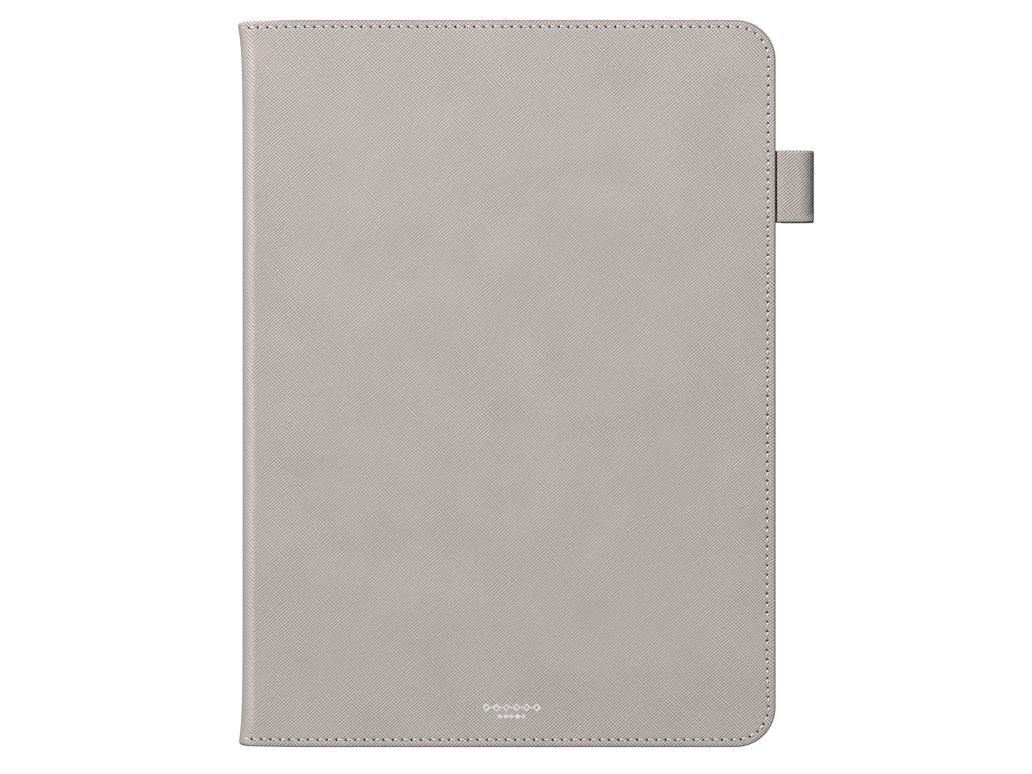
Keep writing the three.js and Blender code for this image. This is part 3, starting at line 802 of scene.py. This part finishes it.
def sheet_point(s, y, a, b, profile, depth_at):
    """Place, grain and seam of a sheet's point. a and b count the rings that it lies beyond a
    corner's centre along the section and along the height."""
    inset, depth, run = profile[max(a, b)]
    depth = depth_at(s, depth)
    side = math.copysign(1, y)
    turn = 0.0
    if a == 0:
        at_y = side * (HALF_H - inset) if b else y
        place, _ = section_point(s, at_y, depth)
        place[1] = drawn_in(s, at_y)
        grain = (s, y + side * run * (b > 0), 0)
    elif b == 0:
        place = np.array([FORE - inset, y, THICK - depth])
        grain = (s + run, y, 0)
    else:
        turn = math.pi / 4 * (b / a if a >= b else 2 - a / b)
        radius = CORNER_R - inset
        at_x = FORE - CORNER_R + radius * math.cos(turn)
        at_y = side * (Y_CORNER + radius * math.sin(turn))
        place = np.array([at_x, at_y, THICK - depth])
        grain = (s + run * math.cos(turn), y + side * run * math.sin(turn), 0)
    return stray(place), grain, (seam_count(s, y, a, b, turn), inset, depth < OUTSIDE_DEPTH)


def cover_sheet(name, look, mirror, profile_at, depth_at, thickness, faces_in=False):
    """A sheet over one cover and half the spine. Beyond the corner centres its grid runs in rings that
    follow the outline, so that the seam and the turned edge keep their distance round the corners."""
    rings = len(profile_at(0.0)) - 1
    columns = [(s, 0) for s in section_steps()] + [(S_CORNER, a) for a in range(1, rings + 1)]
    rows = [(-Y_CORNER, b) for b in range(rings, 0, -1)]
    rows += [(y, 0) for y in np.linspace(-Y_CORNER, Y_CORNER, HEIGHT_STEPS)]
    rows += [(Y_CORNER, b) for b in range(1, rings + 1)]
    points, grain, seam = [], [], []
    for s, a in columns:
        profile = profile_at(s)
        for y, b in rows:
            place, lie, stitch = sheet_point(s, y, a, b, profile, depth_at)
            points.append(place)
            grain.append(lie)
            seam.append(stitch)
    points, grain = np.array(points), np.array(grain)
    count = len(rows)
    faces = [
        (i * count + j, (i + 1) * count + j, (i + 1) * count + j + 1, i * count + j + 1)
        for i in range(len(columns) - 1)
        for j in range(count - 1)
    ]
    if mirror:
        points[:, 2] = THICK - points[:, 2]
        grain[:, 0] = -grain[:, 0]
    if mirror != faces_in:
        faces = [face[::-1] for face in faces]
    piece = make_piece(name, points, faces, look)
    put_vectors(piece, "grain", grain)
    put_vectors(piece, "seam", seam)
    wall = piece.modifiers.new("thickness", "SOLIDIFY")
    wall.thickness = thickness * MM
    wall.offset = -1
    return piece


def seam_point(count, depth_at):
    """Place, outward normal and direction along the seam of a cover, by the count of its stitches."""
    run = (count - SEAM_PHASE) * SEAM_PITCH
    corner = SEAM_R * math.pi / 2
    low = run <= SEAM_LENGTH / 2
    run = run if low else SEAM_LENGTH - run
    side = -1 if low else 1
    if run <= S_CORNER:
        y = side * (HALF_H - SEAM_INSET)
        place, normal = section_point(run, y, depth_at(run))
        place[1] = drawn_in(run, y)
        ahead = np.array([normal[2], 0.0, -normal[0]])
    elif run <= S_CORNER + corner:
        turn = math.pi / 2 - (run - S_CORNER) / SEAM_R
        place = np.array([FORE - CORNER_R, side * Y_CORNER, THICK - depth_at(S_CORNER)])
        place += SEAM_R * np.array([math.cos(turn), side * math.sin(turn), 0.0])
        normal = np.array([0.0, 0.0, 1.0])
        ahead = np.array([math.sin(turn), -side * math.cos(turn), 0.0])
    else:
        y = side * (Y_CORNER - (run - S_CORNER - corner))
        place = np.array([FORE - SEAM_INSET, y, THICK - depth_at(S_CORNER)])
        normal = np.array([0.0, 0.0, 1.0])
        ahead = np.array([0.0, float(-side), 0.0])
    return stray(place), normal, ahead if low else -ahead


def seam_path(depth_at):
    return lambda count: seam_point(count, depth_at)


def stitch_row(name, path, counts, outward=1, mirror=False):
    """Stitches of twisted thread, each rising steeply out of one needle hole and sinking into the
    leather towards the next, with the high end at the spine and top side."""
    points, faces = [], []
    for k in counts:
        base = len(points)
        for r in range(THREAD_RINGS):
            share = r / (THREAD_RINGS - 1)
            place, normal, ahead = path(k + HOLE_SHARE + (1 - 2 * HOLE_SHARE) * share)
            normal = normal * outward
            across = np.cross(normal, ahead)
            from_light = share if ahead[0] > ahead[1] else 1 - share
            rise = math.sin(math.pi * from_light**STITCH_SKEW)
            place = place + normal * (STITCH_RISE * rise - STITCH_SINK)
            place = place + across * STITCH_SLANT * math.cos(math.pi * share)
            for q in range(THREAD_SIDES):
                angle = 2 * math.pi * q / THREAD_SIDES
                radius = THREAD_R * (1 + PLY_DEPTH * math.cos(PLIES * angle + PLY_TWIST * share))
                points.append(place + radius * (math.cos(angle) * across + math.sin(angle) * normal))
        faces += ring_faces(THREAD_RINGS, THREAD_SIDES, base=base)
    points = np.array(points)
    if mirror:
        points[:, 2] = THICK - points[:, 2]
        faces = [face[::-1] for face in faces]
    return make_piece(name, points, faces, "thread")


def bend_over_fold(piece, cover, mirror, reach):
    """The piece follows the cover, then turns on to the spine within a share of the fold."""
    z_cover, down = (0.0, reach * FOLD_R) if mirror else (THICK, -reach * FOLD_R)
    start = Vector((FOLD_X, 0, z_cover)) * MM
    end = Vector((FOLD_X - reach * FOLD_R, 0, z_cover + down)) * MM
    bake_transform(piece, cover, "spine", start=start, end=end)


def build_cover(side, cover, mirror):
    skin = cover_sheet(f"{side}_leather", "leather", mirror, leather_edge, leather_at, LEATHER_T)
    lining = cover_sheet(
        f"{side}_microfibre", "lining", mirror, lambda s: LINING_EDGE, lining_at, LINING_T, faces_in=True
    )
    counts = range(SEAM_START, STITCHES - SEAM_START + 1)
    outside = seam_path(lambda s: SEAM_SINK)
    needle = stitch_row(f"{side}_stitches_outside", outside, counts, 1, mirror)
    inside = seam_path(lambda s: lining_depth(s) - BOBBIN_LIFT)
    bobbin = stitch_row(f"{side}_stitches_inside", inside, counts, -1, mirror)
    if mirror:
        cut_camera_hole(skin, SKIN_HOLE)
        cut_camera_hole(lining, LINING_HOLE)
    for piece in (skin, needle):
        bend_over_fold(piece, cover, mirror, 1.0)
    for piece in (lining, bobbin):
        bend_over_fold(piece, cover, mirror, LINING_REACH)
    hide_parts(f"{side}_skin")
    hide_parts(f"{side}_lining")
    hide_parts(f"{side}_needle_thread")
    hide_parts(f"{side}_bobbin_thread")
    return skin, lining


# ---- Rounded-square openings and the tray


def rounded_ring(x, y, half_x, half_y, r, z, steps=10):
    """Points round a rectangle with rounded corners, at one height."""
    ring = []
    for quarter, (side_x, side_y) in enumerate(((1, 1), (-1, 1), (-1, -1), (1, -1))):
        for i in range(steps + 1):
            turn = math.pi / 2 * (quarter + i / steps)
            at_x = x + side_x * (half_x - r) + r * math.cos(turn)
            at_y = y + side_y * (half_y - r) + r * math.sin(turn)
            ring.append((at_x, at_y, z))
    return ring


def skin_rings(rings, closed=False):
    """Points and faces of rings of equal count, in order from below up the outside."""
    points = [point for ring in rings for point in ring]
    return points, ring_faces(len(rings), len(rings[0]), closed)


def camera_rings(profile):
    """Rings round the camera hole from (distance outside it, height) pairs."""
    return [
        rounded_ring(CAMERA.x, CAMERA.y, CAMERA_HALF + out, CAMERA_HALF + out, CAMERA_R + out, z)
        for out, z in profile
    ]


def rounded_box_profile(out_low, out_high, z_low, z_high, r, steps=4):
    """Closed (out, z) outline of a bar with rounded edges, up its outside first."""
    left, right, low, high = out_low + r, out_high - r, z_low + r, z_high - r
    outline = []
    for quarter, (out, z) in enumerate(((right, low), (right, high), (left, high), (left, low))):
        for i in range(steps + 1):
            turn = math.radians(90 * (quarter - 1) + 90 * i / steps)
            outline.append((out + r * math.cos(turn), z + r * math.sin(turn)))
    return outline


def bake(piece):
    """The piece's modifiers become its mesh."""
    bpy.context.view_layer.update()
    graph = bpy.context.evaluated_depsgraph_get()
    mesh = bpy.data.meshes.new_from_object(piece.evaluated_get(graph), depsgraph=graph)
    piece.modifiers.clear()
    piece.data = mesh


def combine(piece, others, operation):
    """The piece with the others cut out of it or joined on, which uses them up."""
    for other in others:
        step = piece.modifiers.new("combine", "BOOLEAN")
        step.operation = operation
        step.solver = "MANIFOLD"
        step.object = other
    bake(piece)
    for other in others:
        bpy.data.objects.remove(other)


def cutter(rings):
    return add_mesh("cutter", *skin_rings(rings))


def cut_camera_hole(piece, out):
    """Cuts the hole, and gives its rim the grain of its place and a seam too far off to pierce it."""
    combine(piece, [cutter(camera_rings([(out, -PAST), (out, THICK / 2)]))], "DIFFERENCE")
    places = read_vectors(piece, "position") / MM
    grain, seam = read_vectors(piece, "grain"), read_vectors(piece, "seam")
    rim = ~seam.any(axis=1)
    u = FOLD_X - RISE - ARC - places[rim, 0]
    grain[rim] = np.column_stack([u, places[rim, 1], np.zeros(rim.sum())])
    seam[rim] = (0.0, CORNER_R, 0.0)
    put_vectors(piece, "grain", grain)
    put_vectors(piece, "seam", seam)


def wall_slot(x, y, half_x, half_y, low, high):
    """A cutter for an opening with rounded ends in a wall of the tray."""
    along_x = half_x > half_y
    half, depth = (half_x, half_y) if along_x else (half_y, half_x)
    middle, tall = (low + high) / 2, (high - low) / 2
    flat = rounded_ring(0, 0, half, tall, min(half, tall) * SLOT_ROUND, 0, SLOT_STEPS)
    rings = []
    for side in (-depth, depth):
        if along_x:
            rings.append([(x + a, y - side, middle + b) for a, b, _ in flat])
        else:
            rings.append([(x + side, y + a, middle + b) for a, b, _ in flat])
    return cutter(rings)


def tray_profile(low, high):
    """(inset, height) of the tray's section: out under its foot, up the wall, over the lip and down
    to the floor of the bay."""
    lip = TRAY_WALL + TRAY_LIP
    turns = [(math.sin(turn), math.cos(turn)) for turn in np.linspace(0, math.pi / 2, TRAY_STEPS)]
    profile = [(TRAY_MIDDLE, low)]
    profile += [(FOOT_R * (1 - sine), low + FOOT_R * (1 - cosine)) for sine, cosine in turns]
    profile += [(RIM_R * (1 - cosine), high - RIM_R * (1 - sine)) for sine, cosine in turns]
    profile += [(lip + inwards, high + up) for inwards, up in LIP_END]
    profile += [(TRAY_WALL + inwards, high + up) for inwards, up in LIP_ROOT]
    profile += [(TRAY_WALL + BAY_R * (1 - cosine), BAY_Z + BAY_R * (1 - sine)) for sine, cosine in turns]
    return [*profile, (TRAY_MIDDLE, BAY_Z)]


def tray_openings(x, half_x, half_y, high):
    """Cutters for the ports and speakers in the tray's ends and the notches over its buttons."""
    low, top, over = BAY_Z + SLOT_LOW, high - SLOT_HIGH, high + NOTCH_HIGH
    deep = TRAY_WALL + TRAY_LIP + SLOT_PAST

    def in_end(side, place, half, low, top):
        return wall_slot(x + place, side * half_y, half, deep, low, top)

    return [
        in_end(-1, *CHARGING_PORT, low - PORT_EXTRA[0], top + PORT_EXTRA[1]),
        *(in_end(-1, *speaker, low, top) for speaker in BOTTOM_SPEAKERS),
        *(in_end(1, *speaker, low, top) for speaker in TOP_SPEAKERS),
        in_end(1, *MICROPHONE, low + MICROPHONE_LESS, top - MICROPHONE_LESS),
        wall_slot(x + half_x + POWER_BUTTON[0], half_y, POWER_BUTTON[1], deep, low, over),
        *(wall_slot(tray_high.x, y, deep, half, low, over) for y, half in (VOLUME_BUTTONS, STYLUS_SIDE)),
    ]


def build_tray():
    x, half_x = (tray_low.x + tray_high.x) / 2, (tray_high.x - tray_low.x) / 2
    half_y, high = tray_high.y, tray_high.z
    rings = [
        rounded_ring(x, 0, half_x - inset, half_y - inset, TRAY_R - inset, z, TRAY_CORNER_STEPS)
        for inset, z in tray_profile(BAY_Z - TRAY_FLOOR, high)
    ]
    tray = make_piece("tray_shell", *skin_rings(rings), "tray")
    collar_rings = camera_rings(rounded_box_profile(**COLLAR))
    collar = add_mesh("collar", *skin_rings(collar_rings, closed=True))
    inside = COLLAR["out_low"]
    window = cutter(camera_rings([(inside, -PAST), (inside, BAY_Z + 0.2)]))
    openings = tray_openings(x, half_x, half_y, high)
    combine(tray, [collar], "UNION")
    combine(tray, [window, *openings], "DIFFERENCE")
    shade(tray, TRAY_SHARP)
    tray.data.materials.clear()
    tray.data.materials.append(LOOKS["tray"])
    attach(tray, "back_cover")
    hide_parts("tablet_tray")


def build_camera_edge():
    """The bound edge of the camera hole and the stitching round it."""
    points, faces = skin_rings(camera_rings(rounded_box_profile(**CAMERA_EDGE)), closed=True)
    edge = make_piece("camera_hole_edge", points, faces, "leather", CAMERA_EDGE_SHARP)
    x, y, z = np.array(points).T
    put_vectors(edge, "grain", np.column_stack([x + CAMERA_EDGE_U, y + z, 0 * z]))
    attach(edge, "back_cover")
    half, r = CAMERA_HALF + CAMERA_SEAM, CAMERA_R + CAMERA_SEAM
    ring = np.array(rounded_ring(CAMERA.x, CAMERA.y, half, half, r, SEAM_SINK, CAMERA_SEAM_STEPS))
    steps = np.linalg.norm(np.roll(ring, -1, 0) - ring, axis=1)
    marks = np.concatenate([[0.0], np.cumsum(steps)])
    stitches = round(marks[-1] / STITCH)
    ring = np.vstack([ring, ring[:1]])

    def path(count):
        run = count / stitches * marks[-1] % marks[-1]
        i = int(np.searchsorted(marks, run, "right")) - 1
        ahead = (ring[i + 1] - ring[i]) / max(steps[i], 1e-9)
        return ring[i] + ahead * (run - marks[i]), np.array([0.0, 0.0, -1.0]), ahead

    row = stitch_row("camera_hole_stitches", path, range(stitches))
    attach(row, "back_cover")
    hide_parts("camera_hole_thread")


# ---- Pen loop


def arc(x, z, a, b, start, stop, count):
    """Points of an ellipse round (x, z), from one angle to another in degrees."""
    turns = np.radians(np.linspace(start, stop, count))
    return [(x + a * math.cos(t), z + b * math.sin(t)) for t in turns]


def strap_path():
    """Place and outward normal along the outside of the strap: out of the cover, round and back in."""
    wall, tip, top, bottom = loop_low.x - LOOP_GAP, loop_high.x, loop_high.z, loop_low.z
    middle = bottom + LOOP_HALF_T
    leave, enter = tail_high.z, tail_low.z
    heel_x, heel_z = LOOP_HEEL
    reach, sag = LOOP_CREST - wall, top - middle - LOOP_HALF_T
    glued = (tail_low.x + TAIL_MARGIN, *(FORE - inset for inset in GLUED))
    line = [(x, leave) for x in glued]
    line += arc(wall - LEAVE_R, leave + LEAVE_R, LEAVE_R, LEAVE_R, -90, 0, 5)
    line += arc(wall + LOOP_CORNER, top - LOOP_CORNER, LOOP_CORNER, LOOP_CORNER, 180, 98, 7)
    line += [(x, top - (x - wall) ** 2 / reach**2 * sag) for x in LOOP_TOP]
    line += arc(LOOP_CREST, middle, tip - LOOP_CREST, LOOP_HALF_T, 90, -90, 34)
    line += [(x, bottom + z) for x, z in LOOP_UNDER]
    line += arc(heel_x + HEEL_R, heel_z + HEEL_LIFT, HEEL_R, HEEL_R, -100, -170, 6)
    line += LOOP_BACK
    line += arc(wall - ENTER_GAP, enter - ENTER_R, ENTER_R, ENTER_R, 10, 90, 5)
    line += [(x, enter) for x in glued[::-1]]
    line = np.array(line)
    ahead = np.gradient(line, axis=0)
    ahead /= np.linalg.norm(ahead, axis=1)[:, None]
    return line, np.column_stack([-ahead[:, 1], ahead[:, 0]])


def strap_section(half, thickness):
    """(across, depth) round a strap whose long edges are rounded."""
    drop = min(STRAP_DROP, thickness * STRAP_DROP)
    side = [(half - STRAP_EDGE, 0.0)]
    for turn in np.linspace(0, math.pi / 2, STRAP_EDGE_STEPS)[1:]:
        side.append((half - STRAP_EDGE * (1 - math.sin(turn)), drop * (1 - math.cos(turn))))
    side += [(across, thickness - depth) for across, depth in side[::-1]]
    across_top = np.linspace(STRAP_EDGE - half, half - STRAP_EDGE, STRAP_STEPS)
    top = [(across, 0.0) for across in across_top[:-1]]
    under = [(-across, thickness) for across, _ in top]
    return top + side + under[1:] + [(-across, thickness - depth) for across, depth in side]


def sweep_strap(name, look, line, normal, half, top, thickness):
    """A strap along a line, its outside face at the given depth below the line."""
    y = (loop_low.y + loop_high.y) / 2
    run = np.concatenate([[0.0], np.cumsum(np.linalg.norm(np.diff(line, axis=0), axis=1))])
    points, grain = [], []
    for i, (place, out) in enumerate(zip(line, normal)):
        section = strap_section(half, thickness[i])
        for across, depth in section:
            x, z = place - out * (top + depth)
            points.append((x, y + across, z))
            grain.append((STRAP_U + run[i], y + across, depth))
    faces = [face[::-1] for face in ring_faces(len(line), len(section))]
    piece = make_piece(name, points, faces, look, STRAP_SHARP)
    put_vectors(piece, "grain", grain)
    return piece


def build_pen_loop():
    """The strap, thin where its two ends lie in the cover, and the lining of the open part."""
    line, normal = strap_path()
    half = (loop_high.y - loop_low.y) / 2
    clear = np.clip((line[:, 0] - loop_low.x + CLEAR_FROM) / CLEAR_OVER, 0, 1)
    tail_t = TAIL_SHARE * (tail_high.z - tail_low.z) / 2
    thickness = tail_t + (STRAP_T - tail_t) * clear
    strap = sweep_strap("pen_loop_strap", "leather", line, normal, half, 0.0, thickness)
    lined = line[:, 0] > loop_low.x + LINED_FROM
    inner_line, inner_half = line[lined], half - STRAP_LINING_INSET
    inner_t = np.full(lined.sum(), STRAP_LINING_T)
    depth = STRAP_T + STRAP_LINING_GAP
    inside = sweep_strap(
        "pen_loop_inside", "lining", inner_line, normal[lined], inner_half, depth, inner_t
    )
    middle = (tail_low.z + tail_high.z) / 2
    start = Vector((FORE - BEND_MARGIN, 0, middle)) * MM
    end = Vector((loop_low.x + BEND_MARGIN, 0, middle)) * MM
    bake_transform(strap, "front_cover", "pen_loop", start=start, end=end)
    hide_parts("pen_loop_skin", "pen_loop_tail")
    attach(inside, "pen_loop")
    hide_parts("pen_loop_lining")


# ---- Camera, light and floor


def make_camera():
    data = bpy.data.cameras.new("camera")
    data.sensor_width = SENSOR
    data.lens = SENSOR * VIEW_DISTANCE / VIEW_WIDTH
    data.clip_end = 20.0
    place = Vector((*VIEW_CENTRE, THICK + VIEW_DISTANCE)) * MM
    bpy.context.scene.camera = add_object("camera", data, place)


def make_key_light():
    """A square light from the upper left, aimed at the middle of the case."""
    data = bpy.data.lights.new("key", "AREA")
    data.shape = "SQUARE"
    data.size = KEY_SIZE
    data.energy = KEY_POWER
    light = add_object("key", data, KEY_PLACE)
    light.rotation_euler = (-Vector(KEY_PLACE)).to_track_quat("-Z", "Y").to_euler()


def make_room():
    """A white room, bright on the key light's side and dark on the other."""
    world = bpy.data.worlds.new("studio")
    world.use_nodes = True
    nodes, links = world.node_tree.nodes, world.node_tree.links
    place = nodes.new("ShaderNodeTexCoord")
    facing = nodes.new("ShaderNodeVectorMath")
    facing.operation = "DOT_PRODUCT"
    links.new(place.outputs["Generated"], facing.inputs[0])
    facing.inputs[1].default_value = Vector(KEY_PLACE).normalized()
    rise = nodes.new("ShaderNodeMapRange")
    links.new(facing.outputs["Value"], rise.inputs[0])
    for value, socket in zip((*ROOM_FACING, *ROOM_LIGHT), list(rise.inputs)[1:5]):
        socket.default_value = value
    background = nodes["Background"]
    background.inputs["Color"].default_value = ROOM_COLOUR
    links.new(rise.outputs[0], background.inputs["Strength"])
    bpy.context.scene.world = world


def make_floor():
    """A floor lit from within, which neither lights the case nor shows in its gloss."""
    half = FLOOR_HALF
    corners = [(-half, -half, 0), (half, -half, 0), (half, half, 0), (-half, half, 0)]
    floor = add_mesh("floor", corners, [(0, 1, 2, 3)])
    floor.location.z = FLOOR_Z * MM
    floor.visible_diffuse = False
    floor.visible_glossy = False
    g = Graph("backlit_floor")
    g.set(Base_Color=(0.0, 0.0, 0.0, 1.0), Specular_IOR_Level=0.0, Roughness=1.0)
    g.set(Emission_Color=(1.0, 1.0, 1.0, 1.0), Emission_Strength=FLOOR_GLOW)
    floor.data.materials.append(g.material)


# ---- The whole scene

front_leather, front_microfibre = build_cover("front", "front_cover", False)
build_cover("back", "back_cover", True)
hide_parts("spine_skin")
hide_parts("spine_lining")
build_tray()
build_camera_edge()
build_pen_loop()

bpy.context.scene.view_settings.view_transform = "Standard"
make_camera()
make_room()
make_key_light()
make_floor()

# The CAD nodes that stay get the looks of their slots
for row in frame["record"]["subparts"]:
    node = frame["nodes"][row["node"]]
    node.data.materials.clear()
    node.data.materials.append(LOOKS[row["material_slot"]])
